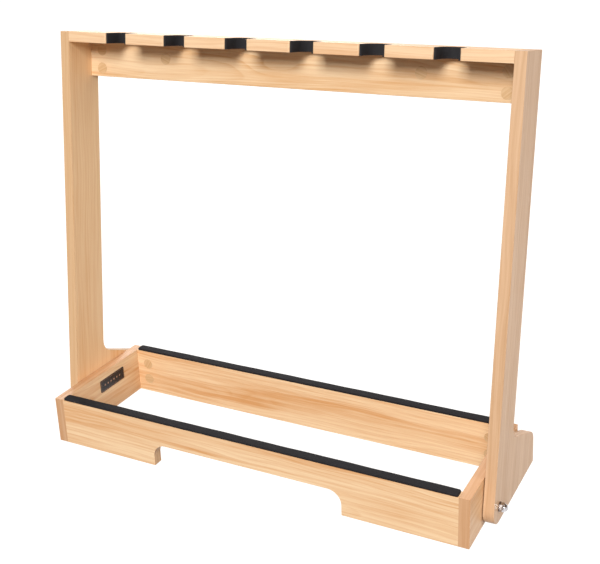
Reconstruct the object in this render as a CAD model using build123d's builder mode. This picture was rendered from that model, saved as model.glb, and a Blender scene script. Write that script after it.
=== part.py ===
"""Free-standing wooden guitar rack: a floor tray for the bodies and a leaning frame with six neck slots.

Row frame: +X to the right, +Y to the rear, +Z up, origin on the floor under the middle of the rack.
All sizes are in millimetres.
"""
import os
from math import cos, radians, sin, tan

from build123d import *

os.makedirs("parts", exist_ok=True)

# ---------------------------------------------------------------- boards
board = 18.0                # thickness of every laminated board
arris = 0.8                 # softened corner of the edge banding

# ---------------------------------------------------------------- floor tray
tray_length = 789.0         # over both end boards, along X
tray_depth = 247.0          # length of an end board, along Y
tray_height = 86.5          # boards only, without the pads
tray_corner = 3.0           # rounded top rear corner of each end board
rear_rail_inset = 1.5       # the rear rail stands this far inside the end boards' rear edges
cutout_width = 362.0        # toe cutout under the front rail
cutout_height = 43.0
cutout_corner = 24.0

# ---------------------------------------------------------------- leaning frame
rake = radians(7.5)         # lean of the uprights towards the rear
upright_width = 79.0        # across an upright, square to its front edge
upright_length = 733.5      # from the floor to the top, along the front edge
tray_lead = 55.0            # the tray stands this far in front of the uprights' feet
foot_length = 227.0         # along the floor, from the front edge's line to the heel's rear
foot_rear_height = 60.5     # where the sloping top of the foot meets its rear edge
foot_slope = radians(23.8)  # fall of the foot's top towards the rear
foot_lean = radians(4.0)    # forward lean of the foot's rear edge
nose_radius = 28.0          # rounded toe, concentric with the pivot bolt
crook_radius = 27.0         # inner curve from the upright into the foot
heel_radius = 28.0          # rounded upper corner of the heel

# ---------------------------------------------------------------- neck shelf and apron
slot_count = 6
slot_width = 41.0           # between wood faces
slot_pitch = 118.3          # between the middles of two slots
slot_depth = 50.0           # from the shelf's front edge to the end of the round
slot_lip = 2.5              # rounded corner where a slot meets the front edge
neck_pad = 3.0              # thickness of the lining in each slot
apron_height = 61.0

# ---------------------------------------------------------------- body pads
body_pad = 4.0              # thickness of the strips on the rails
body_pad_end_gap = 1.5      # a strip stops this far short of each end board

# ---------------------------------------------------------------- cam fittings
cam_setback = 24.0          # cam centre to the joint face
cam_pitch = 32.0            # between the two cams of one joint
cam_radius = 7.5
cam_height = 12.0
cam_clearance = 0.05        # around and below a cam in its pocket
cam_throat = 3.6            # radius of the mouth that takes the bolt's head
drive_width = 1.6           # screwdriver slot across a cam's face
drive_depth = 1.5
shelf_cam_x = 235.0         # the two cams that draw the shelf down on the apron
bolt_thread_radius = 2.5
bolt_thread_length = 11.0
bolt_stem_radius = 3.0
bolt_neck_radius = 2.0
bolt_head_radius = 3.2
bolt_neck_length = 3.5
bolt_head_length = 3.0
bolt_reach = 1.5            # the bolt's head passes the cam's centre by this much
stem_bore_radius = 4.0
pilot_spare = 1.0           # a blind hole is this much deeper than what goes in
cap_radius = 10.0
cap_thickness = 0.5

# ---------------------------------------------------------------- dowels
dowel_radius = 4.0
dowel_in_face = 11.0        # length held by the board that is drilled in its face
dowel_in_end = 18.0         # length held by the board that is drilled in its end
shelf_dowel_inset = 18.0    # first and last dowel of a shelf end, from the shelf's edges
apron_dowel_x = 203.0       # dowels between apron and shelf

# ---------------------------------------------------------------- pivot hardware, M8
bolt_radius = 4.0
running_clearance = 0.05    # radial, between the bolt and the holes it turns in
end_play = 0.1              # axial, between the side panel and each washer face
washer_radius = 8.0
washer_thickness = 1.6
spacer_radius = 12.0
spacer_thickness = 1.0
head_radius = 7.0
head_height = 4.4
head_round = 2.6
socket_width = 5.0          # across flats
socket_depth = 2.6
bolt_length = 50.0
nut_width = 13.0            # across flats
nut_hex_height = 6.5
nut_height = 12.0
nut_dome_radius = 6.25
nut_dome_round = 5.4        # leaves a small flat in the middle of the dome
nut_chamfer = 0.6
nut_thread_depth = 10.0

# ---------------------------------------------------------------- badge
badge_length = 72.0
badge_height = 24.5
badge_thickness = 0.8
badge_corner = 2.5
badge_y = 1.3
badge_z = 60.2

# ---------------------------------------------------------------- places worked out from the sizes
overall_depth = tray_lead + foot_length
tray_front = -overall_depth / 2
tray_rear = tray_front + tray_depth
rear_rail_face = tray_rear - rear_rail_inset - board
foot_front = tray_front + tray_lead
rail_length = tray_length - 2 * board
tray_outside = tray_length / 2
panel_inside = tray_outside + spacer_thickness + end_play
panel_outside = panel_inside + board
frame_inside = 2 * panel_inside
apron_front = upright_width - board
shelf_bottom = upright_length - board
apron_bottom = shelf_bottom - apron_height
slot_round = slot_width / 2
round_centre = slot_depth - slot_round
slot_xs = [(i - (slot_count - 1) / 2) * slot_pitch for i in range(slot_count)]
pivot_y = foot_front + nose_radius * (tan(rake) + 1 / cos(rake))
pivot_z = nose_radius

# The leaning plane: local x is X, local y runs rearward across an upright, local z runs up along it.
lean = Plane(origin=(0, foot_front, 0), x_dir=(1, 0, 0), z_dir=(0, sin(rake), cos(rake)))
up_the_frame = Axis(lean.origin, lean.z_dir)
back_of_frame = Axis(lean.origin, lean.y_dir)


def on_frame(x, across, up):
    """A point given in the leaning frame, as a point of the row frame."""
    return lean.from_local_coords(Vector(x, across, up))


def on_panel(across, up):
    """The same point as (y, z), for outlines drawn on the YZ plane."""
    point = on_frame(0, across, up)
    return point.Y, point.Z


# A fitting's plane lies on the face that its cam is let into: its z axis leaves the wood and its
# x axis points at the joint face, cam_setback away.
rail_cam_x = rail_length / 2 - cam_setback
rail_cam_zs = [tray_height / 2 + i * cam_pitch / 2 for i in (-1, 1)]
apron_cam_ups = [apron_bottom + apron_height / 2 + i * cam_pitch / 2 for i in (-1, 1)]
apron_end_fittings = [
    Plane(
        origin=on_frame(side * (panel_inside - cam_setback), apron_front, up),
        x_dir=(side, 0, 0), z_dir=-lean.y_dir,
    )
    for side in (-1, 1) for up in apron_cam_ups
]
apron_top_fittings = [
    Plane(
        origin=on_frame(side * shelf_cam_x, apron_front, shelf_bottom - cam_setback),
        x_dir=lean.z_dir, z_dir=-lean.y_dir,
    )
    for side in (-1, 1)
]
fittings = {
    "front_rail": [
        Plane(origin=(side * rail_cam_x, tray_front + board, z), x_dir=(side, 0, 0), z_dir=(0, 1, 0))
        for side in (-1, 1) for z in rail_cam_zs
    ],
    "rear_rail": [
        Plane(origin=(side * rail_cam_x, rear_rail_face, z), x_dir=(side, 0, 0), z_dir=(0, -1, 0))
        for side in (-1, 1) for z in rail_cam_zs
    ],
    "apron": apron_end_fittings + apron_top_fittings,
}


def joint_plane(fitting):
    """Plane on the joint face that a fitting draws up, its z axis pointing into the other board."""
    centre = fitting.from_local_coords(Vector(cam_setback, 0, -board / 2))
    return Plane(origin=centre, z_dir=fitting.x_dir)


# A dowel's plane lies on the joint face too, its z axis pointing into the board drilled in its face.
apron_end_dowels = [
    Plane(
        origin=on_frame(side * panel_inside, apron_front + board / 2, apron_bottom + apron_height / 2),
        z_dir=(side, 0, 0),
    )
    for side in (-1, 1)
]
apron_top_dowels = [
    Plane(origin=on_frame(side * apron_dowel_x, apron_front + board / 2, shelf_bottom), z_dir=lean.z_dir)
    for side in (-1, 1)
]
dowel_places = {
    "front_rail": [
        Plane(origin=(side * rail_length / 2, tray_front + board / 2, tray_height / 2), z_dir=(side, 0, 0))
        for side in (-1, 1)
    ],
    "rear_rail": [
        Plane(origin=(side * rail_length / 2, rear_rail_face + board / 2, tray_height / 2), z_dir=(side, 0, 0))
        for side in (-1, 1)
    ],
    "apron": apron_end_dowels + apron_top_dowels,
    "shelf": [
        Plane(origin=on_frame(side * panel_inside, across, shelf_bottom + board / 2), z_dir=(side, 0, 0))
        for side in (-1, 1) for across in (shelf_dowel_inset, upright_width - shelf_dowel_inset)
    ],
}
dowel_pilot = dowel_in_face + pilot_spare
dowel_bore = dowel_in_end + pilot_spare
bolt_pilot = bolt_thread_length + pilot_spare
stem_bore = cam_setback + bolt_reach + pilot_spare

# ---------------------------------------------------------------- side panels
nose = (foot_front, 0)
heel = (foot_front + foot_length, 0)
heel_top = (heel[0] - foot_rear_height * tan(foot_lean), foot_rear_height)
# The foot's sloping top and the upright's rear edge meet at the crook.
rear_at_floor = foot_front + upright_width / cos(rake)
crook_z = (foot_rear_height + (heel_top[0] - rear_at_floor) * tan(foot_slope)) / (
    1 + tan(rake) * tan(foot_slope)
)
crook = (rear_at_floor + crook_z * tan(rake), crook_z)

for side_name, side in (("left", -1), ("right", 1)):
    with BuildPart() as side_panel:
        with BuildSketch(Plane.YZ.offset(side * panel_inside)) as outline:
            with BuildLine():
                Polyline(
                    nose, heel, heel_top, crook,
                    on_panel(upright_width, upright_length), on_panel(0, upright_length),
                    close=True,
                )
            make_face()
            for corner, radius in ((nose, nose_radius), (heel_top, heel_radius), (crook, crook_radius)):
                fillet(outline.vertices().sort_by_distance(Vector(*corner))[0], radius)
        extrude(amount=side * board)
        for face in (side_panel.faces().sort_by(Axis.X)[0], side_panel.faces().sort_by(Axis.X)[-1]):
            chamfer(face.outer_wire().edges(), arris / 2)
        with BuildSketch(Plane.YZ.offset(side * panel_inside)):
            with Locations((pivot_y, pivot_z)):
                Circle(bolt_radius + running_clearance)
        extrude(amount=side * board, mode=Mode.SUBTRACT)
        for fitting in apron_end_fittings:
            if fitting.x_dir.X * side > 0:
                with BuildSketch(joint_plane(fitting)):
                    Circle(bolt_thread_radius)
                extrude(amount=bolt_pilot, mode=Mode.SUBTRACT)
        for place in apron_end_dowels + dowel_places["shelf"]:
            if place.z_dir.X * side > 0:
                with BuildSketch(place):
                    Circle(dowel_radius)
                extrude(amount=dowel_pilot, mode=Mode.SUBTRACT)
    side_panel.part.label = side_name + "_side_panel"
    export_step(side_panel.part, "parts/" + side_panel.part.label + ".step")

# ---------------------------------------------------------------- neck shelf
with BuildPart() as neck_shelf:
    with BuildSketch(lean.offset(shelf_bottom)) as shelf_outline:
        with Locations((0, upright_width / 2)):
            Rectangle(frame_inside, upright_width)
        with Locations([(x, 0) for x in slot_xs]):
            Rectangle(
                slot_width, round_centre,
                align=(Align.CENTER, Align.MIN), mode=Mode.SUBTRACT,
            )
        with Locations([(x, round_centre) for x in slot_xs]):
            Circle(slot_round, mode=Mode.SUBTRACT)
        front_corners = shelf_outline.vertices().group_by(Axis.Y)[0].sort_by(Axis.X)
        fillet(front_corners[1:-1], slot_lip)
    extrude(amount=board)
    front_edges = neck_shelf.edges().filter_by(Axis.X).group_by(back_of_frame)[0]
    rear_top_edge = neck_shelf.edges().filter_by(Axis.X).group_by(back_of_frame)[-1].sort_by(up_the_frame)[-1]
    chamfer(front_edges + [rear_top_edge], arris / 2)
    for fitting in apron_top_fittings:
        with BuildSketch(joint_plane(fitting)):
            Circle(bolt_thread_radius)
        extrude(amount=bolt_pilot, mode=Mode.SUBTRACT)
    for place in apron_top_dowels:
        with BuildSketch(place):
            Circle(dowel_radius)
        extrude(amount=dowel_pilot, mode=Mode.SUBTRACT)
    for place in dowel_places["shelf"]:
        with BuildSketch(place):
            Circle(dowel_radius)
        extrude(amount=-dowel_bore, mode=Mode.SUBTRACT)
neck_shelf.part.label = "neck_shelf"
export_step(neck_shelf.part, "parts/neck_shelf.step")

# ---------------------------------------------------------------- neck pads
for number, x in enumerate(slot_xs, 1):
    with BuildPart() as neck_pad_strip:
        with BuildSketch(lean.offset(shelf_bottom)):
            for radius, mode in ((slot_round, Mode.ADD), (slot_round - neck_pad, Mode.SUBTRACT)):
                with BuildLine():
                    Polyline(
                        (x + radius, round_centre), (x + radius, slot_lip),
                        (x - radius, slot_lip), (x - radius, round_centre),
                    )
                    ThreePointArc(
                        (x - radius, round_centre), (x, round_centre + radius), (x + radius, round_centre)
                    )
                make_face(mode=mode)
        extrude(amount=board)
    neck_pad_strip.part.label = "neck_pad_" + str(number)
    export_step(neck_pad_strip.part, "parts/" + neck_pad_strip.part.label + ".step")

# ---------------------------------------------------------------- apron
with BuildPart() as apron:
    with BuildSketch(lean.offset(apron_bottom)):
        with Locations((0, apron_front + board / 2)):
            Rectangle(frame_inside, board)
    extrude(amount=apron_height)
    chamfer(apron.edges().filter_by(Axis.X).group_by(up_the_frame)[0], arris / 2)
    for fitting in fittings["apron"]:
        with BuildSketch(fitting):
            Circle(cam_radius + cam_clearance)
        extrude(amount=-cam_height - cam_clearance, mode=Mode.SUBTRACT)
        with BuildSketch(joint_plane(fitting)):
            Circle(stem_bore_radius)
        extrude(amount=-stem_bore, mode=Mode.SUBTRACT)
    for place in dowel_places["apron"]:
        with BuildSketch(place):
            Circle(dowel_radius)
        extrude(amount=-dowel_bore, mode=Mode.SUBTRACT)
apron.part.label = "apron"
export_step(apron.part, "parts/apron.step")

# ---------------------------------------------------------------- tray rails
for rail_name, rail_front in (("front_rail", tray_front), ("rear_rail", rear_rail_face)):
    with BuildPart() as rail:
        with BuildSketch(Plane.XZ.offset(-rail_front)):
            with Locations((0, tray_height / 2)):
                Rectangle(rail_length, tray_height)
        extrude(amount=-board)
        if rail_name == "front_rail":
            with BuildSketch(Plane.XZ.offset(-rail_front)) as toe_cutout:
                Rectangle(cutout_width, cutout_height, align=(Align.CENTER, Align.MIN))
                fillet(toe_cutout.vertices().group_by(Axis.Y)[-1], cutout_corner)
            extrude(amount=-board, mode=Mode.SUBTRACT)
        chamfer(rail.edges().filter_by(Axis.X).group_by(Axis.Z)[-1], arris / 2)
        for fitting in fittings[rail_name]:
            with BuildSketch(fitting):
                Circle(cam_radius + cam_clearance)
            extrude(amount=-cam_height - cam_clearance, mode=Mode.SUBTRACT)
            with BuildSketch(joint_plane(fitting)):
                Circle(stem_bore_radius)
            extrude(amount=-stem_bore, mode=Mode.SUBTRACT)
        for place in dowel_places[rail_name]:
            with BuildSketch(place):
                Circle(dowel_radius)
            extrude(amount=-dowel_bore, mode=Mode.SUBTRACT)
    rail.part.label = "tray_" + rail_name
    export_step(rail.part, "parts/" + rail.part.label + ".step")

    # The strip of padding lies on the rail's top edge, over its whole thickness.
    pad_length = rail_length - 2 * body_pad_end_gap
    with BuildPart() as strip:
        with BuildSketch(Plane.XY.offset(tray_height)):
            with Locations((0, rail_front + board / 2)):
                Rectangle(pad_length, board)
        extrude(amount=body_pad)
    strip.part.label = rail_name.replace("rail", "body_pad")
    export_step(strip.part, "parts/" + strip.part.label + ".step")

# ---------------------------------------------------------------- tray end boards
for side_name, side in (("left", -1), ("right", 1)):
    with BuildPart() as end_board:
        with BuildSketch(Plane.YZ.offset(side * (tray_outside - board))) as end_outline:
            with Locations((tray_front + tray_depth / 2, tray_height / 2)):
                Rectangle(tray_depth, tray_height)
            fillet(end_outline.vertices().sort_by_distance(Vector(tray_rear, tray_height))[0], tray_corner)
        extrude(amount=side * board)
        outer_face = end_board.faces().sort_by(Axis.X)[0 if side < 0 else -1]
        chamfer(outer_face.outer_wire().edges(), arris / 2)
        with BuildSketch(Plane.YZ.offset(side * (tray_outside - board))):
            with Locations((pivot_y, pivot_z)):
                Circle(bolt_radius + running_clearance)
        extrude(amount=side * board, mode=Mode.SUBTRACT)
        for fitting in fittings["front_rail"] + fittings["rear_rail"]:
            if fitting.x_dir.X * side > 0:
                with BuildSketch(joint_plane(fitting)):
                    Circle(bolt_thread_radius)
                extrude(amount=bolt_pilot, mode=Mode.SUBTRACT)
        for place in dowel_places["front_rail"] + dowel_places["rear_rail"]:
            if place.z_dir.X * side > 0:
                with BuildSketch(place):
                    Circle(dowel_radius)
                extrude(amount=dowel_pilot, mode=Mode.SUBTRACT)
    end_board.part.label = "tray_" + side_name + "_end"
    export_step(end_board.part, "parts/" + end_board.part.label + ".step")

# ---------------------------------------------------------------- cam fittings, bolts and cover caps
for board_name, places in fittings.items():
    with BuildPart() as cam_locks:
        for fitting in places:
            with BuildSketch(fitting):
                Circle(cam_radius)
            extrude(amount=-cam_height)
            # The mouth for the bolt's head runs from the cam's rim past its centre.
            with BuildSketch(joint_plane(fitting).offset(cam_radius - cam_setback)):
                Circle(cam_throat)
            extrude(amount=-cam_radius - bolt_reach - bolt_head_length, mode=Mode.SUBTRACT)
            with BuildSketch(fitting):
                Rectangle(cam_radius, drive_width)
                Rectangle(drive_width, cam_radius)
            extrude(amount=-drive_depth, mode=Mode.SUBTRACT)
    cam_locks.part.label = board_name + "_cam_locks"
    export_step(cam_locks.part, "parts/" + cam_locks.part.label + ".step")

    head_end = cam_setback + bolt_reach
    with BuildPart() as cam_bolts:
        for fitting in places:
            for radius, start, length in (
                (bolt_thread_radius, -bolt_thread_length, bolt_thread_length),
                (bolt_stem_radius, 0, head_end - bolt_head_length - bolt_neck_length),
                (bolt_neck_radius, head_end - bolt_head_length - bolt_neck_length, bolt_neck_length),
                (bolt_head_radius, head_end - bolt_head_length, bolt_head_length),
            ):
                with BuildSketch(joint_plane(fitting).offset(-start)):
                    Circle(radius)
                extrude(amount=-length)
    cam_bolts.part.label = board_name + "_cam_bolts"
    export_step(cam_bolts.part, "parts/" + cam_bolts.part.label + ".step")

    with BuildPart() as cover_caps:
        for fitting in places:
            with BuildSketch(fitting):
                Circle(cap_radius)
            extrude(amount=cap_thickness)
            proud_centre = fitting.offset(cap_thickness).origin
            proud_rim = cover_caps.edges().filter_by(GeomType.CIRCLE).sort_by_distance(proud_centre)[0]
            chamfer(proud_rim, cap_thickness / 2)
    cover_caps.part.label = board_name + "_cover_caps"
    export_step(cover_caps.part, "parts/" + cover_caps.part.label + ".step")

# ---------------------------------------------------------------- wooden dowels
for board_name, places in dowel_places.items():
    with BuildPart() as dowels:
        for place in places:
            with BuildSketch(place.offset(-dowel_in_end)):
                Circle(dowel_radius)
            extrude(amount=dowel_in_end + dowel_in_face)
    dowels.part.label = board_name + "_dowels"
    export_step(dowels.part, "parts/" + dowels.part.label + ".step")

# ---------------------------------------------------------------- pivot hardware
for side_name, side in (("left", -1), ("right", 1)):
    # The bolt's axis runs outwards through the end board and the side panel, from its washer's inner face.
    inner_face = tray_outside - board - washer_thickness
    outer_washer_face = panel_outside + end_play
    bolt_seat = Plane(origin=(side * inner_face, pivot_y, pivot_z), x_dir=(0, 1, 0), z_dir=(side, 0, 0))

    with BuildPart() as pivot_bolt:
        with BuildSketch(bolt_seat):
            Circle(bolt_radius)
        extrude(amount=bolt_length)
        with BuildSketch(bolt_seat):
            Circle(head_radius)
        extrude(amount=-head_height)
        head_rim = pivot_bolt.edges().filter_by(GeomType.CIRCLE).sort_by(Axis.X)[-1 if side < 0 else 0]
        fillet(head_rim, head_round)
        with BuildSketch(bolt_seat.offset(-head_height)):
            RegularPolygon(socket_width / 2, 6, major_radius=False)
        extrude(amount=socket_depth, mode=Mode.SUBTRACT)
    pivot_bolt.part.label = side_name + "_pivot_bolt"
    export_step(pivot_bolt.part, "parts/" + pivot_bolt.part.label + ".step")

    for ring_name, offset, radius, thickness in (
        ("inner_washer", 0, washer_radius, washer_thickness),
        ("spacer_washer", tray_outside - inner_face, spacer_radius, spacer_thickness),
        ("outer_washer", outer_washer_face - inner_face, washer_radius, washer_thickness),
    ):
        with BuildPart() as ring:
            with BuildSketch(bolt_seat.offset(offset)):
                Circle(radius)
                Circle(bolt_radius + running_clearance, mode=Mode.SUBTRACT)
            extrude(amount=thickness)
        ring.part.label = side_name + "_" + ring_name
        export_step(ring.part, "parts/" + ring.part.label + ".step")

    nut_seat = bolt_seat.offset(outer_washer_face + washer_thickness - inner_face)
    with BuildPart() as dome_nut:
        with BuildSketch(nut_seat):
            RegularPolygon(nut_width / 2, 6, major_radius=False)
        extrude(amount=nut_hex_height)
        # A cone takes the hexagon's corners off at both ends, as on a turned nut.
        corner_radius = nut_width / 2 / cos(radians(30))
        with BuildSketch(Plane(nut_seat.origin, x_dir=(0, 0, 1), z_dir=(0, side, 0))):
            with BuildLine():
                Polyline(
                    (0, 0), (corner_radius - nut_chamfer, 0), (corner_radius, nut_chamfer),
                    (corner_radius, nut_hex_height - nut_chamfer),
                    (corner_radius - nut_chamfer, nut_hex_height), (0, nut_hex_height),
                    close=True,
                )
            make_face()
        revolve(axis=Axis(nut_seat.origin, nut_seat.z_dir), mode=Mode.INTERSECT)
        with BuildSketch(nut_seat.offset(nut_hex_height)):
            Circle(nut_dome_radius)
        extrude(amount=nut_height - nut_hex_height)
        dome_rim = dome_nut.edges().filter_by(GeomType.CIRCLE).sort_by(Axis.X)[0 if side < 0 else -1]
        fillet(dome_rim, nut_dome_round)
        with BuildSketch(nut_seat):
            Circle(bolt_radius)
        extrude(amount=nut_thread_depth, mode=Mode.SUBTRACT)
    dome_nut.part.label = side_name + "_dome_nut"
    export_step(dome_nut.part, "parts/" + dome_nut.part.label + ".step")

# ---------------------------------------------------------------- badge on the left end board
with BuildPart() as badge:
    with BuildSketch(Plane.YZ.offset(board - tray_outside)):
        with Locations((badge_y, badge_z)):
            RectangleRounded(badge_length, badge_height, badge_corner)
    extrude(amount=badge_thickness)
badge.part.label = "badge"
export_step(badge.part, "parts/badge.step")
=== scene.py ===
# A free-standing wooden guitar rack with six spaces: laminated boards in a maple print,
# black foam wherever a guitar touches, and two bright dome nuts on which the frame folds.
from math import cos, pi, radians, sin

import bpy
from mathutils import Matrix, Vector


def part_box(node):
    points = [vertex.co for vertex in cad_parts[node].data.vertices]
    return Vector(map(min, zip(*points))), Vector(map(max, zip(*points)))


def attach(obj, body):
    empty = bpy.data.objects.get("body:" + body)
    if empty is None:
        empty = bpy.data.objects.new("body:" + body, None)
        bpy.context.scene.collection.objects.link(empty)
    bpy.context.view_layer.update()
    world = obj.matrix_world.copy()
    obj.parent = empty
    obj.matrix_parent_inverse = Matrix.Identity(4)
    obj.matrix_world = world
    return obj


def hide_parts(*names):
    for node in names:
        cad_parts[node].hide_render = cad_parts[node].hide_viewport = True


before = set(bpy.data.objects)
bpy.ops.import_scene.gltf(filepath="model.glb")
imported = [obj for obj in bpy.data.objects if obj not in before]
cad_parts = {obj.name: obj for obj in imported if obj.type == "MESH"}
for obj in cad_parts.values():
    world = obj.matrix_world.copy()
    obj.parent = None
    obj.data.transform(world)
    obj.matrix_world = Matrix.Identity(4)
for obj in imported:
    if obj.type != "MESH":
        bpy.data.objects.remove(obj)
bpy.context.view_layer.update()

# ---------------------------------------------------------------- camera
# The camera stands to the front right of the rack and a little above its shelf, 1.7 m from
# the rack's middle, and has a fairly long lens.
camera_data = bpy.data.cameras.new("camera")
camera_data.sensor_width = 36
camera_data.lens = 61.765
camera_data.shift_x = -0.0022
camera_data.shift_y = -0.0660
camera = bpy.data.objects.new("camera", camera_data)
camera.location = (0.80306, -1.40165, 0.97096)
camera.rotation_euler = (radians(70.2536), radians(2.0875), radians(27.4486))
bpy.context.scene.collection.objects.link(camera)
bpy.context.scene.camera = camera

# ---------------------------------------------------------------- laminated boards
# Every board is 18 mm particle board. Both faces carry a satin maple print, and a strip of
# edge banding with a print of its own runs along each edge, with its corner softened.
rake = radians(7.5)  # how far the frame leans back
board = 0.018  # the boards' thickness


def add(tree, kind, inputs=None, **settings):
    """A node with its settings and inputs. An input is found by its name or number, and takes
    a plain value or another node's output."""
    made = tree.nodes.new(kind)
    for name, value in settings.items():
        setattr(made, name, value)
    for name, value in (inputs or {}).items():
        if isinstance(value, bpy.types.NodeSocket):
            tree.links.new(value, made.inputs[name])
        else:
            made.inputs[name].default_value = value
    return made


def calc(tree, operation, *values):
    """The output of one Math node."""
    return add(tree, "ShaderNodeMath", dict(enumerate(values)), operation=operation).outputs[0]


def vector_calc(tree, operation, *values):
    """The output of one Vector Math node."""
    made = add(tree, "ShaderNodeVectorMath", dict(enumerate(values)), operation=operation)
    return made.outputs["Value" if operation == "DOT_PRODUCT" else "Vector"]


def socket_list(tree, way, sockets):
    """Names a node group's inputs or outputs. Each entry is a name, a kind and a starting value."""
    for name, kind, start in sockets:
        made = tree.interface.new_socket(name, in_out=way, socket_type="NodeSocket" + kind)
        if start is not None:
            made.default_value = start


def stretched_noise(tree, place, stretch, detail, roughness=0.5):
    """Noise in streaks. stretch is its scale per metre along the grain, across and through it."""
    scaled = vector_calc(tree, "MULTIPLY", place, stretch)
    noise = add(tree, "ShaderNodeTexNoise",
                {"Vector": scaled, "Scale": 1.0, "Detail": detail, "Roughness": roughness})
    return noise.outputs["Fac"]


def spread(tree, value, low, high, to_low=0.0, to_high=1.0):
    """A value from low to high, spread smoothly over another range."""
    made = add(tree, "ShaderNodeMapRange", {
        "Value": value, "From Min": low, "From Max": high, "To Min": to_low, "To Max": to_high,
    }, interpolation_type="SMOOTHSTEP")
    return made.outputs["Result"]


def blend(tree, share, first, second, **settings):
    """A first colour that turns into a second as share rises. A Mix node has a pair of sockets
    for each kind of data, and numbers 6 and 7 are its colours."""
    made = add(tree, "ShaderNodeMix", {"Factor": share, 6: first, 7: second},
               data_type="RGBA", **settings)
    return made.outputs[2]


# The print: place and facing are in the board's own axes, x along the grain and z through it.
maple = bpy.data.node_groups.new("maple_print", "ShaderNodeTree")
socket_list(maple, "INPUT", [
    ("Place", "Vector", None), ("Facing", "Vector", None), ("Sheet", "Float", 0.0),
    ("Pale", "Color", (0.96, 0.72, 0.46, 1)), ("Dark", "Color", (0.71, 0.36, 0.14, 1)),
    ("Banding", "Color", (0.95, 0.90, 0.86, 1)),
    ("Heart depth", "Float", 0.05), ("Heart offset", "Float", 0.0), ("Taper", "Float", 0.05),
    ("Ring spacing", "Float", 0.0075), ("Figure", "Float", 0.5),
    ("Knot", "Vector", (0.0, 0.0, 0.0)), ("Knot swell", "Float", 0.0),
])
socket_list(maple, "OUTPUT", [
    ("Color", "Color", None), ("Roughness", "Float", None), ("Relief", "Float", None),
])
into = add(maple, "NodeGroupInput").outputs
# The way a point faces tells a face from a banded edge, and an edge from its softened corner.
facing = add(maple, "ShaderNodeSeparateXYZ", {"Vector": into["Facing"]}).outputs
flatness = calc(maple, "ABSOLUTE", facing["Z"])
on_edge = calc(maple, "LESS_THAN", flatness, 0.9)
on_corner = calc(maple, "MULTIPLY", on_edge, calc(maple, "GREATER_THAN", flatness, 0.3))
run = vector_calc(maple, "CROSS_PRODUCT", into["Facing"], (0, 0, 1))
run = vector_calc(maple, "NORMALIZE", run)
along_edge = vector_calc(maple, "DOT_PRODUCT", into["Place"], run)
place = add(maple, "ShaderNodeSeparateXYZ", {"Vector": into["Place"]}).outputs
banding = add(maple, "ShaderNodeCombineXYZ",
              {"X": along_edge, "Y": place["Z"], "Z": 0.4}).outputs[0]
# The same pair of sockets for vectors has the numbers 4 and 5.
surface = add(maple, "ShaderNodeMix", {"Factor": on_edge, 4: into["Place"], 5: banding},
              data_type="VECTOR").outputs[1]
# Each board is cut from its own place on the roll of print.
sheet = vector_calc(maple, "MULTIPLY", into["Sheet"], (3.7, 0.9, 1.3))
printed = vector_calc(maple, "ADD", surface, sheet)

# Growth rings, cut lengthwise: arches where the heart lies near, straight lines where it is far.
sway = calc(maple, "SUBTRACT", stretched_noise(maple, printed, (2.2, 9, 9), 2.0), 0.5)
sway = calc(maple, "MULTIPLY", sway, 0.05)
flow = add(maple, "ShaderNodeCombineXYZ", {"Y": sway}).outputs[0]
flowing = vector_calc(maple, "ADD", printed, flow)
across = calc(maple, "ADD", calc(maple, "SUBTRACT", place["Y"], into["Heart offset"]), sway)
# A knot pushes the rings aside, for 6 cm along the grain and 17 mm across it.
from_knot = vector_calc(maple, "SUBTRACT", into["Place"], into["Knot"])
from_knot = vector_calc(maple, "MULTIPLY", from_knot, (16, 60, 0))
knot_pull = calc(maple, "EXPONENT", calc(
    maple, "MULTIPLY", vector_calc(maple, "DOT_PRODUCT", from_knot, from_knot), -1.0))
radius = calc(maple, "SQRT", calc(
    maple, "ADD", calc(maple, "MULTIPLY", across, across),
    calc(maple, "MULTIPLY", into["Heart depth"], into["Heart depth"])))
radius = calc(maple, "ADD", radius, calc(maple, "MULTIPLY", place["X"], into["Taper"]))
radius = calc(maple, "ADD", radius, calc(maple, "MULTIPLY", knot_pull, into["Knot swell"]))
waver = calc(maple, "MULTIPLY", stretched_noise(maple, printed, (9, 40, 40), 2.0), 0.9)
rings = calc(maple, "ADD", calc(maple, "DIVIDE", radius, into["Ring spacing"]), waver)
# Each ring darkens slowly towards its late wood, which ends sharply.
late_wood = calc(maple, "FRACT", rings)
late_wood = calc(maple, "MULTIPLY", calc(maple, "POWER", late_wood, 2.5),
                 spread(maple, late_wood, 0.88, 1.0, 1.0, 0.0))
patches = spread(maple, stretched_noise(maple, printed, (2.0, 14, 14), 2.0), 0.38, 0.66)
figure = calc(maple, "MULTIPLY", calc(maple, "MULTIPLY", late_wood, patches), into["Figure"])
figure = calc(maple, "MULTIPLY", figure, calc(maple, "SUBTRACT", 1.0, on_edge))

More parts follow.
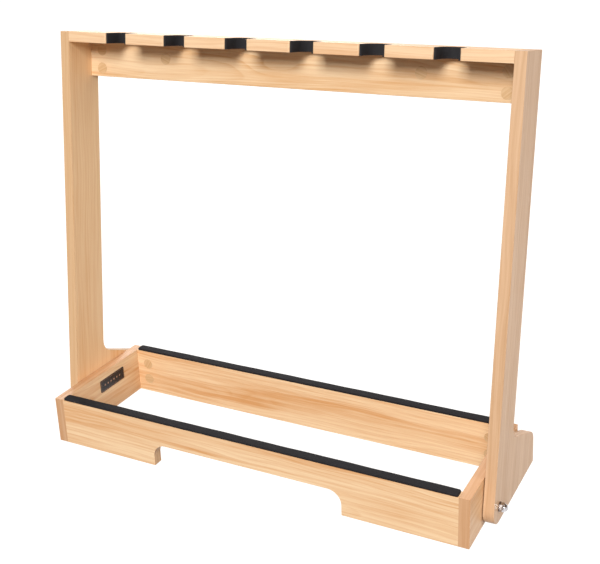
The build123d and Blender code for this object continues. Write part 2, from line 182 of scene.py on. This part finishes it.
# Streaks, fibres and pores run the same way, ever finer. A layer of streaks has its scale per
# metre, detail and roughness, the noise at which it sets in and is full, and its strength.
tone = figure
for stretch, detail, roughness, low, high, strength in (
    ((2.4, 110, 110), 3.0, 0.6, 0.44, 0.64, 0.17),  # streaks
    ((1.5, 24, 24), 3.0, 0.5, 0.42, 0.64, 0.36),  # broad bands
    ((2.0, 48, 48), 2.0, 0.5, 0.58, 0.70, 0.34),  # dark streaks
    ((3.5, 270, 270), 1.0, 0.5, 0.42, 0.60, 0.25),  # fine lines
):
    layer = spread(maple, stretched_noise(maple, flowing, stretch, detail, roughness), low, high)
    tone = calc(maple, "ADD", tone, calc(maple, "MULTIPLY", layer, strength))
fibres = stretched_noise(maple, printed, (22, 700, 700), 3.0, 0.6)
pores = spread(maple, stretched_noise(maple, printed, (70, 1500, 1500), 1.0), 0.66, 0.76)
for layer, strength in (
    (calc(maple, "SUBTRACT", fibres, 0.5), 0.7), (pores, 0.12), (on_corner, 0.22),
    (calc(maple, "MULTIPLY", knot_pull, into["Knot swell"]), 18.0),
):
    tone = calc(maple, "ADD", tone, calc(maple, "MULTIPLY", layer, strength))
wood_color = blend(maple, tone, into["Pale"], into["Dark"])
add(maple, "NodeGroupOutput", {
    "Color": blend(maple, on_edge, wood_color, into["Banding"], blend_type="MULTIPLY"),
    "Roughness": spread(maple, fibres, 0.25, 0.75, 0.36, 0.52),
    "Relief": calc(maple, "SUBTRACT", fibres, pores),
})


def new_material(name):
    """An empty material with its Principled shader, and the shader itself."""
    material = bpy.data.materials.new(name)
    material.use_nodes = True
    return material, material.node_tree.nodes["Principled BSDF"]


def lay_finish(shader, group, inputs, relief=0.0, depth=0.0002):
    """Places a finish's node group before a shader. depth is how high its relief stands, in
    metres, and relief is the share of it that shows."""
    tree = shader.id_data
    look = add(tree, "ShaderNodeGroup", inputs, node_tree=group)
    tree.links.new(look.outputs["Color"], shader.inputs["Base Color"])
    tree.links.new(look.outputs["Roughness"], shader.inputs["Roughness"])
    if relief:
        bump = add(tree, "ShaderNodeBump",
                   {"Height": look.outputs["Relief"], "Strength": relief, "Distance": depth})
        tree.links.new(bump.outputs[0], shader.inputs["Normal"])


def dress(node, material):
    """Gives a node's whole surface one material."""
    for material_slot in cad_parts[node].material_slots:
        material_slot.material = material


def board_turn(grain, through):
    """The turn that takes a board's own axes, x along the grain and z through it, to the rack's."""
    grain, through = Vector(grain), Vector(through)
    return Matrix((grain, through.cross(grain), through)).transposed().to_euler()


up_the_frame = (0, sin(rake), cos(rake))
back_of_frame = (0, cos(rake), -sin(rake))
boards = {
    # The left side panel is a lighter, warmer copy of the print: painted light, standing in for the
    # warm bounce light on its inner face.
    "left_side_panel": dict(grain=up_the_frame, through=(1, 0, 0), Sheet=1.7, Figure=0.25,
                            Pale=(0.98, 0.69, 0.41, 1), Dark=(0.81, 0.46, 0.20, 1),
                            Banding=(0.71, 0.68, 0.66, 1),
                            **{"Heart offset": 0.11, "Heart depth": 0.03, "Taper": 0.02}),
    # The right side panel is a darker copy of the print: painted shade on its outer face. Its
    # banding goes above one, which brings its edges back up out of that painted shade.
    "right_side_panel": dict(grain=up_the_frame, through=(1, 0, 0), Sheet=2.3, Figure=0.30,
                             Pale=(0.66, 0.46, 0.30, 1), Dark=(0.50, 0.30, 0.16, 1),
                             Banding=(1.10, 1.07, 1.03, 1),
                             **{"Heart offset": -0.10, "Heart depth": 0.06, "Taper": 0.02}),
    "neck_shelf": dict(grain=(1, 0, 0), through=up_the_frame, Sheet=3.1, Figure=0.30,
                       Banding=(0.91, 0.89, 0.90, 1)),
    "apron": dict(grain=(1, 0, 0), through=back_of_frame, Sheet=4.6, Figure=0.50,
                  Pale=(0.90, 0.68, 0.44, 1), Dark=(0.68, 0.37, 0.15, 1),
                  **{"Heart offset": 0.012, "Heart depth": 0.02, "Taper": 0.06,
                     "Knot": (-0.02, 0.0, 0.0), "Knot swell": 0.012}),
    "tray_front_rail": dict(grain=(1, 0, 0), through=(0, -1, 0), Sheet=5.2, Figure=0.45,
                            **{"Heart offset": -0.03, "Heart depth": 0.02, "Taper": 0.05,
                               "Knot": (0.27, -0.015, 0.0), "Knot swell": 0.014}),
    "tray_rear_rail": dict(grain=(1, 0, 0), through=(0, -1, 0), Sheet=6.7, Figure=0.38,
                           **{"Heart offset": -0.012, "Heart depth": 0.015, "Taper": 0.07,
                              "Knot": (-0.11, -0.015, 0.0), "Knot swell": 0.014}),
    "tray_left_end": dict(grain=(0, 1, 0), through=(1, 0, 0), Sheet=7.4, Figure=0.35,
                          Banding=(0.74, 0.65, 0.61, 1)),
    # The right end board is also a darker copy of the print: painted shade on its outer face.
    "tray_right_end": dict(grain=(0, 1, 0), through=(1, 0, 0), Sheet=8.8, Figure=0.35,
                           Pale=(0.74, 0.50, 0.30, 1), Dark=(0.58, 0.30, 0.12, 1),
                           Banding=(0.93, 0.84, 0.79, 1)),
}
for name, values in boards.items():
    material, shader = new_material(name + "_maple")
    tree = material.node_tree
    low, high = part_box(name)
    turn = board_turn(values.pop("grain"), values.pop("through"))
    source = add(tree, "ShaderNodeTexCoord").outputs
    own_place = add(tree, "ShaderNodeMapping", {
        "Vector": source["Object"], "Location": (low + high) / 2, "Rotation": turn,
    }, vector_type="TEXTURE").outputs[0]
    own_facing = add(tree, "ShaderNodeMapping", {
        "Vector": source["Normal"], "Rotation": turn,
    }, vector_type="TEXTURE").outputs[0]
    lay_finish(shader, maple, {"Place": own_place, "Facing": own_facing, **values}, relief=0.12)
    shader.inputs["Specular IOR Level"].default_value = 0.35
    dress(name, material)

# ---------------------------------------------------------------- neck linings
# A strip of black foam, 3 mm thick and as wide as the shelf is thick, is glued in each slot.
# It follows the slot's two straight sides and its round end, and stops behind the rounded lip.
lining_thickness = 0.003
lining_fit = 0.0001  # left free between the foam and the wood

foam_grain = bpy.data.node_groups.new("foam_grain", "ShaderNodeTree")
socket_list(foam_grain, "INPUT", [
    ("Place", "Vector", None), ("Cell", "Float", 0.0006),
    ("Deep", "Color", (0.005, 0.005, 0.005, 1)), ("Worn", "Color", (0.018, 0.017, 0.018, 1)),
])
socket_list(foam_grain, "OUTPUT", [
    ("Color", "Color", None), ("Roughness", "Float", None), ("Relief", "Float", None),
])
into = add(foam_grain, "NodeGroupInput").outputs
cells = add(foam_grain, "ShaderNodeTexVoronoi", {
    "Vector": into["Place"], "Scale": calc(foam_grain, "DIVIDE", 1.0, into["Cell"]),
}).outputs["Distance"]
soft_wear = add(foam_grain, "ShaderNodeTexNoise",
                {"Vector": into["Place"], "Scale": 60.0, "Detail": 4.0}).outputs["Fac"]
shade = calc(foam_grain, "ADD", calc(foam_grain, "MULTIPLY", cells, 0.35), soft_wear)
shade = spread(foam_grain, shade, 0.35, 1.05)
add(foam_grain, "NodeGroupOutput", {
    "Color": blend(foam_grain, shade, into["Deep"], into["Worn"]),
    "Roughness": spread(foam_grain, soft_wear, 0.3, 0.7, 0.72, 0.9),
    "Relief": calc(foam_grain, "SUBTRACT", 1.0, cells),
})


def foam_material(name, cell, relief, deep, worn, gloss):
    """Closed-cell foam: charcoal, dull, with a fine pitted skin. cell is the size of a pit."""
    material, shader = new_material(name)
    lay_finish(shader, foam_grain, {
        "Place": add(material.node_tree, "ShaderNodeTexCoord").outputs["Object"],
        "Cell": cell, "Deep": (*deep, 1), "Worn": (*worn, 1),
    }, relief)
    shader.inputs["Specular IOR Level"].default_value = gloss
    return material


lining_foam = foam_material(
    "lining_foam", cell=0.0005, relief=0.35, deep=(0.011, 0.011, 0.013),
    worn=(0.029, 0.028, 0.032), gloss=0.25)

# The sweep: a point's share of the strip's length says where it lies on the U.
line_points, section_points, steps_in_corner = 81, 64, 4
sweep = bpy.data.node_groups.new("lining_sweep", "GeometryNodeTree")
socket_list(sweep, "INPUT", [
    ("Round", "Float", 0.019), ("Straight", "Float", 0.027), ("Thickness", "Float", 0.003),
    ("Width", "Float", 0.018), ("Softness", "Float", 0.0007), ("Waver", "Float", 0.00012),
    ("Seed", "Float", 0.0), ("Foam", "Material", None),
])
socket_list(sweep, "OUTPUT", [("Geometry", "Geometry", None)])
into = add(sweep, "NodeGroupInput").outputs
length = calc(sweep, "ADD", calc(sweep, "MULTIPLY", into["Straight"], 2.0),
              calc(sweep, "MULTIPLY", into["Round"], pi))
line = add(sweep, "GeometryNodeCurvePrimitiveLine", mode="POINTS").outputs[0]
line = add(sweep, "GeometryNodeResampleCurve", {"Curve": line, "Count": line_points}).outputs[0]
share = add(sweep, "GeometryNodeSplineParameter").outputs["Factor"]
travelled = calc(sweep, "MULTIPLY", share, length)
past_side = calc(sweep, "SUBTRACT", travelled, into["Straight"])
turn = calc(sweep, "DIVIDE", past_side, into["Round"])
turn = calc(sweep, "MINIMUM", calc(sweep, "MAXIMUM", turn, 0.0), pi)
before = calc(sweep, "MAXIMUM", calc(sweep, "MULTIPLY", past_side, -1.0), 0.0)
after = calc(sweep, "MAXIMUM", calc(
    sweep, "SUBTRACT", past_side, calc(sweep, "MULTIPLY", into["Round"], pi)), 0.0)
u_x = calc(sweep, "MULTIPLY", calc(sweep, "COSINE", turn), into["Round"])
u_y = calc(sweep, "MULTIPLY", calc(sweep, "SINE", turn), into["Round"])
u_y = calc(sweep, "SUBTRACT", u_y, calc(sweep, "ADD", before, after))
spot = add(sweep, "ShaderNodeCombineXYZ", {"X": u_x, "Y": u_y}).outputs[0]
path = add(sweep, "GeometryNodeSetPosition", {"Geometry": line, "Position": spot}).outputs[0]
path = add(sweep, "GeometryNodeSetCurveNormal", {"Curve": path}, mode="Z_UP").outputs[0]
section = add(sweep, "GeometryNodeCurvePrimitiveQuadrilateral",
              {"Width": into["Thickness"], "Height": into["Width"]}, mode="RECTANGLE").outputs[0]
section = add(sweep, "GeometryNodeFilletCurve", {
    "Curve": section, "Radius": into["Softness"], "Count": steps_in_corner,
}, mode="POLY").outputs[0]
section = add(sweep, "GeometryNodeResampleCurve",
              {"Curve": section, "Count": section_points}).outputs[0]
strip = add(sweep, "GeometryNodeCurveToMesh",
            {"Curve": path, "Profile Curve": section, "Fill Caps": True}).outputs[0]
uneven = add(sweep, "ShaderNodeTexNoise", {
    "Vector": add(sweep, "GeometryNodeInputPosition").outputs[0], "W": into["Seed"],
    "Scale": 120.0, "Detail": 1.0,
}, noise_dimensions="4D").outputs["Fac"]
uneven = calc(sweep, "MULTIPLY", uneven, calc(sweep, "MULTIPLY", into["Waver"], -1.0))
inward = add(sweep, "ShaderNodeVectorMath", {
    0: add(sweep, "GeometryNodeInputNormal").outputs[0], "Scale": uneven,
}, operation="SCALE").outputs["Vector"]
strip = add(sweep, "GeometryNodeSetPosition", {"Geometry": strip, "Offset": inward}).outputs[0]
strip = add(sweep, "GeometryNodeSetShadeSmooth", {"Geometry": strip}).outputs[0]
strip = add(sweep, "GeometryNodeRealizeInstances", {"Geometry": strip}).outputs[0]
strip = add(sweep, "GeometryNodeSetMaterial",
            {"Geometry": strip, "Material": into["Foam"]}).outputs[0]
add(sweep, "NodeGroupOutput", {"Geometry": strip})


def grow(name, tree, seedbed, **inputs):
    """Runs a Geometry Nodes tree on a mesh and returns the result as a plain mesh object."""
    held = bpy.data.objects.new(name + "_seed", seedbed)
    bpy.context.scene.collection.objects.link(held)
    growth = held.modifiers.new("growth", "NODES")
    growth.node_group = tree
    for item in tree.interface.items_tree:
        if item.in_out == "INPUT" and item.name in inputs:
            growth[item.identifier] = inputs[item.name]
    ready = held.evaluated_get(bpy.context.evaluated_depsgraph_get())
    grown = bpy.data.objects.new(name, bpy.data.meshes.new_from_object(ready))
    held.modifiers.remove(growth)
    bpy.data.objects.remove(held)
    bpy.context.scene.collection.objects.link(grown)
    return grown


lean_turn = Matrix.Rotation(-rake, 4, "X")
for number in range(1, 7):
    low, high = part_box(f"neck_pad_{number}")
    slot_width = high.x - low.x
    slot_run = (high.y - low.y - board * sin(rake)) / cos(rake)
    path_round = (slot_width - lining_thickness) / 2 - lining_fit
    lining = grow(
        f"neck_lining_{number}", sweep, bpy.data.meshes.new("blank"),
        Round=path_round, Straight=slot_run - slot_width / 2, Thickness=lining_thickness,
        Width=board - lining_fit, Seed=float(number), Foam=lining_foam,
    )
    # The round's centre, halfway through the shelf, in the leaning frame and then in the rack's.
    front_low = Vector(((low.x + high.x) / 2, low.y, low.z + slot_run * sin(rake)))
    centre = front_low + (slot_run - slot_width / 2) * Vector(back_of_frame)
    centre += board / 2 * Vector(up_the_frame)
    lining.data.transform(Matrix.Translation(centre) @ lean_turn)
    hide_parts(f"neck_pad_{number}")
    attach(lining, "frame")

# ---------------------------------------------------------------- body pads
# The two rails carry a self-adhesive strip of the same foam, 4 mm thick. It is cut by hand, so
# its rear edge wavers a little, and its top is slightly crowned with soft, rounded ends.
strip_foam = foam_material(
    "strip_foam", cell=0.0007, relief=0.45, deep=(0.012, 0.012, 0.014),
    worn=(0.025, 0.025, 0.029), gloss=0.15)


def foam_strip(name, node):
    """A crowned strip with round corners and a wavering rear edge, in the space of its node."""
    low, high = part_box(node)
    corner, edge_round, waver, crown = 0.0035, 0.0014, 0.0009, 0.0003
    stations, half_ring = 240, 20
    width, height = high.y - low.y, high.z - low.z
    run = high.x - low.x
    vertices, faces = [], []
    for i in range(stations + 1):
        # Stations crowd towards both ends, where the corners turn.
        share = 0.5 - 0.5 * cos(pi * i / stations)
        x = run * share
        near_end = min(x, run - x)
        # Near an end the sides draw in by one rounding and the top drops by another.
        front, drop = (
            size - (size ** 2 - (size - min(near_end, size)) ** 2) ** 0.5
            for size in (corner, edge_round)
        )
        # The cut drifts in a slow wave with a quicker one on it.
        drift = waver * (0.5 + 0.28 * sin(31 * x + 1.0) + 0.22 * sin(83 * x + 2.0))
        back = width - front - drift
        middle, half = (front + back) / 2, (back - front) / 2
        # The section runs up one side, over the top and down the other, with rounded shoulders.
        ring = [(-half, 0.0)]
        for j in range(half_ring + 1):
            step = j / (half_ring / 2)
            angle, over = pi / 2 * min(step, 1.0), max(0.0, step - 1.0)
            y = -half + edge_round * (1 - cos(angle)) + over * (half - edge_round)
            z = height - drop - edge_round * (1 - sin(angle))
            ring.append((y, z - crown * (1 - over) ** 2))
        ring += [(-y, z) for y, z in reversed(ring[:-1])]
        vertices += [(low.x + x, low.y + middle + y, low.z + z) for y, z in ring]
    count = len(ring)
    for i in range(stations):
        for j in range(count):
            a, b = i * count + j, i * count + (j + 1) % count
            faces.append((a, b, b + count, a + count))
    faces.append(tuple(reversed(range(count))))
    faces.append(tuple(range(stations * count, stations * count + count)))
    mesh = bpy.data.meshes.new(name)
    mesh.from_pydata(vertices, [], faces)
    mesh.validate()
    mesh.polygons.foreach_set("use_smooth", [True] * len(mesh.polygons))
    mesh.materials.append(strip_foam)
    strip = bpy.data.objects.new(name, mesh)
    bpy.context.scene.collection.objects.link(strip)
    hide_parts(node)
    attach(strip, "tray")


foam_strip("front_foam_strip", "front_body_pad")
foam_strip("rear_foam_strip", "rear_body_pad")

# ---------------------------------------------------------------- cover caps
# A self-adhesive disc of wood print, 20 mm across, hides each cam. They are stuck on by hand,
# so the print on each one runs its own way, and its tone is a little off the board's.
cap_radius, cap_thickness, cap_sides = 0.010, 0.0005, 48
cams_apart, cam_setback, shelf_cam_x = 0.032, 0.024, 0.235
most_spin = 1.2

cap_foil, shader = new_material("cap_foil")
lay_finish(shader, maple, {
    "Place": add(cap_foil.node_tree, "ShaderNodeUVMap", uv_map="cap_print").outputs[0],
    "Facing": (0, 0, 1), "Sheet": 9.6, "Figure": 0.6, "Heart depth": 0.0, "Heart offset": 0.03,
    "Ring spacing": 0.0021, "Pale": (0.80, 0.58, 0.35, 1), "Dark": (0.60, 0.36, 0.16, 1),
})

caps = bpy.data.node_groups.new("cap_discs", "GeometryNodeTree")
socket_list(caps, "INPUT", [
    ("Places", "Geometry", None), ("Radius", "Float", 0.01), ("Thickness", "Float", 0.0005),
    ("Seed", "Int", 0), ("Foil", "Material", None),
])
socket_list(caps, "OUTPUT", [("Geometry", "Geometry", None)])
into = add(caps, "NodeGroupInput").outputs
bevel = calc(caps, "MULTIPLY", into["Thickness"], 0.6)
disc = add(caps, "GeometryNodeMeshCone", {
    "Vertices": cap_sides, "Radius Bottom": into["Radius"],
    "Radius Top": calc(caps, "SUBTRACT", into["Radius"], bevel), "Depth": into["Thickness"],
}).outputs["Mesh"]
disc = add(caps, "GeometryNodeStoreNamedAttribute", {
    "Geometry": disc, "Name": "cap_print",
    "Value": add(caps, "GeometryNodeInputPosition").outputs[0],
}, data_type="FLOAT2", domain="CORNER").outputs[0]
outward = add(caps, "GeometryNodeInputNamedAttribute",
              {"Name": "outward"}, data_type="FLOAT_VECTOR").outputs[0]
facing = add(caps, "FunctionNodeAlignRotationToVector",
             {"Vector": outward}, axis="Z").outputs[0]
# A Random Value node's range of plain numbers has the sockets 2 and 3.
spin = add(caps, "FunctionNodeRandomValue",
           {"Seed": into["Seed"], 2: -most_spin, 3: most_spin}, data_type="FLOAT").outputs[1]
spin = add(caps, "ShaderNodeCombineXYZ", {"Z": spin}).outputs[0]
placed = add(caps, "GeometryNodeMeshToPoints", {"Mesh": into["Places"]}).outputs[0]
placed = add(caps, "GeometryNodeInstanceOnPoints",
             {"Points": placed, "Instance": disc, "Rotation": facing}).outputs[0]
placed = add(caps, "GeometryNodeRotateInstances",
             {"Instances": placed, "Rotation": spin}).outputs[0]
placed = add(caps, "GeometryNodeRealizeInstances", {"Geometry": placed}).outputs[0]
placed = add(caps, "GeometryNodeSetMaterial",
             {"Geometry": placed, "Material": into["Foil"]}).outputs[0]
add(caps, "NodeGroupOutput", {"Geometry": placed})


def cap_seats(places):
    """A mesh of single points, each with the way that its cap faces."""
    mesh = bpy.data.meshes.new("cap_seats")
    mesh.from_pydata([place for place, _ in places], [], [])
    mesh.attributes.new("outward", "FLOAT_VECTOR", "POINT")
    mesh.attributes["outward"].data.foreach_set("vector", [v for _, way in places for v in way])
    return mesh


tray_caps = []
for node, seat_side in (("front_rail_cover_caps", 1), ("rear_rail_cover_caps", -1)):
    low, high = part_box(node)
    seat_y = low.y if seat_side > 0 else high.y
    tray_caps += [
        (Vector((x, seat_y, z)), (0, seat_side, 0))
        for x in (low.x + cap_radius, high.x - cap_radius)
        for z in (low.z + cap_radius, high.z - cap_radius)
    ]
low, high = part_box("apron")
apron_run = (high.z - low.z - board * sin(rake)) / cos(rake)
apron_foot = Vector((0, low.y, low.z + board * sin(rake)))
apron_caps = []
for side in (-1, 1):
    spots = [
        (side * (high.x - cam_setback), (apron_run - cams_apart) / 2),
        (side * (high.x - cam_setback), (apron_run + cams_apart) / 2),
        (side * shelf_cam_x, apron_run - cam_setback),
    ]
    apron_caps += [
        (apron_foot + Vector((x, 0, 0)) + up * Vector(up_the_frame), -Vector(back_of_frame))
        for x, up in spots
    ]
for name, places, body, nodes in (
    ("tray_cover_caps", tray_caps, "tray", ["front_rail_cover_caps", "rear_rail_cover_caps"]),
    ("apron_cover_discs", apron_caps, "frame", ["apron_cover_caps"]),
):
    discs = grow(name, caps, cap_seats(places),
                 Radius=cap_radius, Thickness=cap_thickness, Seed=len(places), Foil=cap_foil)
    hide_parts(*nodes)
    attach(discs, body)

# ---------------------------------------------------------------- badge
# A thin self-adhesive plate with rounded corners on the left end board. It carries a plain
# bronze border and six dots, one for each space of the rack, and no words.
low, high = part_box("badge")
badge_face, shader = new_material("badge_face")
tree = badge_face.node_tree
own_place = add(tree, "ShaderNodeMapping", {
    "Vector": add(tree, "ShaderNodeTexCoord").outputs["Object"], "Location": (low + high) / 2,
}, vector_type="TEXTURE").outputs[0]
own = add(tree, "ShaderNodeSeparateXYZ", {"Vector": own_place}).outputs


def oblong(half_y, half_z):
    """A mask of 1 inside an upright rectangle round the plate's middle."""
    inside_y = calc(tree, "LESS_THAN", calc(tree, "ABSOLUTE", own["Y"]), half_y)
    inside_z = calc(tree, "LESS_THAN", calc(tree, "ABSOLUTE", own["Z"]), half_z)
    return calc(tree, "MULTIPLY", inside_y, inside_z)


half_length, half_height = (high.y - low.y) / 2, (high.z - low.z) / 2
border_inset, border_line = 0.0018, 0.0004
dots, dot_pitch, dot_radius = 6, 0.0090, 0.0019
printed_marks = calc(
    tree, "SUBTRACT", oblong(half_length - border_inset, half_height - border_inset),
    oblong(half_length - border_inset - border_line, half_height - border_inset - border_line))
for step in range(dots):
    dot_y = (step - (dots - 1) / 2) * dot_pitch
    from_dot = vector_calc(tree, "SUBTRACT", own_place, (0, dot_y, 0))
    from_dot = vector_calc(tree, "MULTIPLY", from_dot, (0, 1, 1))
    gap = calc(tree, "SQRT", vector_calc(tree, "DOT_PRODUCT", from_dot, from_dot))
    printed_marks = calc(tree, "ADD", printed_marks, calc(tree, "LESS_THAN", gap, dot_radius))
plate_black, mark_bronze = (0.016, 0.013, 0.015, 1), (0.42, 0.24, 0.17, 1)
tree.links.new(blend(tree, printed_marks, plate_black, mark_bronze), shader.inputs["Base Color"])
grime = add(tree, "ShaderNodeTexNoise",
            {"Vector": own_place, "Scale": 220.0, "Detail": 4.0}).outputs["Fac"]
tree.links.new(spread(tree, grime, 0.3, 0.7, 0.22, 0.38), shader.inputs["Roughness"])
shader.inputs["Specular IOR Level"].default_value = 0.30
dress("badge", badge_face)

# ---------------------------------------------------------------- pivot nuts, bolts and washers
# M8 furniture bolts with low dome nuts in bright chrome. Under each nut lies a dark steel
# washer, and a thin nylon washer keeps the side panel off the tray.
turned = bpy.data.node_groups.new("turned_metal", "ShaderNodeTree")
socket_list(turned, "INPUT", [
    ("Place", "Vector", None), ("Bright", "Color", (0.8, 0.8, 0.8, 1)),
    ("Dull", "Color", (0.6, 0.6, 0.6, 1)), ("Polish", "Float", 0.1), ("Smudge", "Float", 0.1),
])
socket_list(turned, "OUTPUT", [
    ("Color", "Color", None), ("Roughness", "Float", None), ("Relief", "Float", None),
])
into = add(turned, "NodeGroupInput").outputs
smears = add(turned, "ShaderNodeTexNoise",
             {"Vector": into["Place"], "Scale": 180.0, "Detail": 3.0}).outputs["Fac"]
smears = spread(turned, smears, 0.35, 0.75)
dulling = calc(turned, "MULTIPLY", smears, into["Smudge"])
add(turned, "NodeGroupOutput", {
    "Color": blend(turned, smears, into["Bright"], into["Dull"]),
    "Roughness": calc(turned, "ADD", into["Polish"], dulling),
    "Relief": stretched_noise(turned, into["Place"], (5000, 300, 300), 1.0),
})


def metal_material(name, bright, dull, polish, smudge, relief, metallic=1.0):
    """Metal or hard plastic with dull smears, and with turning marks along X where it has relief.
    polish is the roughness of its clean places, and smudge is what the smears add."""
    material, shader = new_material(name)
    lay_finish(shader, turned, {
        "Place": add(material.node_tree, "ShaderNodeTexCoord").outputs["Object"],
        "Bright": (*bright, 1), "Dull": (*dull, 1), "Polish": polish, "Smudge": smudge,
    }, relief, depth=0.0001)
    shader.inputs["Metallic"].default_value = metallic
    return material


chrome = metal_material(
    "bright_chrome", (0.62, 0.61, 0.63), (0.49, 0.48, 0.50), polish=0.13, smudge=0.08, relief=0.0)
dark_steel = metal_material(
    "dark_steel", (0.22, 0.16, 0.13), (0.12, 0.09, 0.075), polish=0.35, smudge=0.15, relief=0.15)
nylon = metal_material(
    "nylon", (0.78, 0.76, 0.70), (0.70, 0.68, 0.62), polish=0.40, smudge=0.15, relief=0.05,
    metallic=0.0)
for side in ("left", "right"):
    dress(side + "_dome_nut", chrome)
    dress(side + "_pivot_bolt", chrome)
    dress(side + "_outer_washer", dark_steel)
    dress(side + "_inner_washer", dark_steel)
    dress(side + "_spacer_washer", nylon)

# ---------------------------------------------------------------- hidden fittings
# Cast zinc cams and zinc-plated steel bolts pull each joint together, and beech dowels keep
# it in line. They are seen only when the rack is apart.
cast_zinc = metal_material(
    "cast_zinc", (0.50, 0.50, 0.49), (0.36, 0.36, 0.36), polish=0.42, smudge=0.20, relief=0.30)
zinc_steel = metal_material(
    "zinc_steel", (0.66, 0.66, 0.64), (0.52, 0.51, 0.48), polish=0.24, smudge=0.18, relief=0.15)
for board_name in ("front_rail", "rear_rail", "apron"):
    dress(board_name + "_cam_locks", cast_zinc)
    dress(board_name + "_cam_bolts", zinc_steel)

beech, shader = new_material("beech")
lay_finish(shader, maple, {
    "Place": add(beech.node_tree, "ShaderNodeTexCoord").outputs["Object"], "Facing": (0, 0, 1),
    "Figure": 0.2, "Pale": (0.58, 0.38, 0.22, 1), "Dark": (0.38, 0.21, 0.11, 1),
})
for board_name in ("front_rail", "rear_rail", "apron", "shelf"):
    dress(board_name + "_dowels", beech)

# ---------------------------------------------------------------- floor and light
# The floor and backdrop are white to the eye and in reflections, but throw little light up. A
# large softbox stands in front and weaker ones above, at the sides and behind, in a dim room.
floor_mesh = bpy.data.meshes.new("floor")
reach, floor_drop = 40.0, 0.0004
floor_mesh.from_pydata(
    [(x * reach, y * reach, -floor_drop) for x, y in ((-1, -1), (1, -1), (1, 1), (-1, 1))],
    [], [(0, 1, 2, 3)])
floor = bpy.data.objects.new("floor", floor_mesh)
bpy.context.scene.collection.objects.link(floor)
floor_paint, shader = new_material("floor_paint")
tree = floor_paint.node_tree
bounces = add(tree, "ShaderNodeLightPath").outputs["Diffuse Depth"]
tree.links.new(calc(tree, "LESS_THAN", bounces, 0.5), shader.inputs["Emission Strength"])
shader.inputs["Emission Color"].default_value = (1, 1, 1, 1)
shader.inputs["Base Color"].default_value = (0.14, 0.13, 0.12, 1)
shader.inputs["Roughness"].default_value = 0.9
floor_paint.cycles.emission_sampling = "NONE"
floor_mesh.materials.append(floor_paint)


def soft_light(name, heading, height, distance, size, strength, color, mirrored=True):
    """A square light that faces the rack's middle. heading and height are its angles from straight
    in front and from level, in degrees, and strength is how bright it makes a white wall."""
    target = Vector((0, 0, 0.4))
    flat = distance * cos(radians(height))
    place = target + Vector((flat * sin(radians(heading)), -flat * cos(radians(heading)),
                             distance * sin(radians(height))))
    data = bpy.data.lights.new(name, "AREA")
    data.size = size
    data.energy = strength * pi ** 2 * distance ** 2
    data.color = color
    light = bpy.data.objects.new(name, data)
    light.visible_glossy = mirrored
    light.location = place
    light.rotation_euler = (target - place).to_track_quat("-Z", "Y").to_euler()
    bpy.context.scene.collection.objects.link(light)


# Name, heading, height, distance, size, strength and colour.
soft_light("front_light", 13, 32, 9.0, 3.0, 1.00, (1.0, 0.98, 0.95))
soft_light("top_light", 0, 86, 3.2, 1.8, 0.20, (1.0, 1.0, 1.0))
soft_light("right_light", 94, 16, 4.3, 2.4, 0.40, (1.0, 0.99, 0.98), mirrored=False)
soft_light("right_card", 92, -14, 1.2, 0.6, 0.10, (1.0, 0.98, 0.98), mirrored=False)
soft_light("left_light", 266, 16, 4.3, 2.4, 0.30, (1.0, 0.99, 0.98), mirrored=False)
soft_light("rear_light", 215, 30, 4.5, 2.4, 0.50, (1.0, 0.99, 0.98))

surroundings = bpy.data.worlds.new("surroundings")
surroundings.use_nodes = True
surroundings.cycles.sampling_method = "NONE"
tree = surroundings.node_tree
ray = add(tree, "ShaderNodeLightPath").outputs
way = add(tree, "ShaderNodeTexCoord").outputs["Generated"]
rise = add(tree, "ShaderNodeSeparateXYZ", {"Vector": way}).outputs["Z"]
backdrop_top = 0.30
backdrop = calc(tree, "MAXIMUM", ray["Is Camera Ray"], calc(tree, "LESS_THAN", rise, backdrop_top))
backdrop = calc(tree, "MULTIPLY", backdrop, calc(tree, "LESS_THAN", ray["Diffuse Depth"], 0.5))
dim_room, white = (0.165, 0.099, 0.063, 1), (1.0, 1.0, 1.0, 1)
tree.links.new(blend(tree, backdrop, dim_room, white), tree.nodes["Background"].inputs["Color"])
bpy.context.scene.world = surroundings
bpy.context.scene.view_settings.view_transform = "Standard"
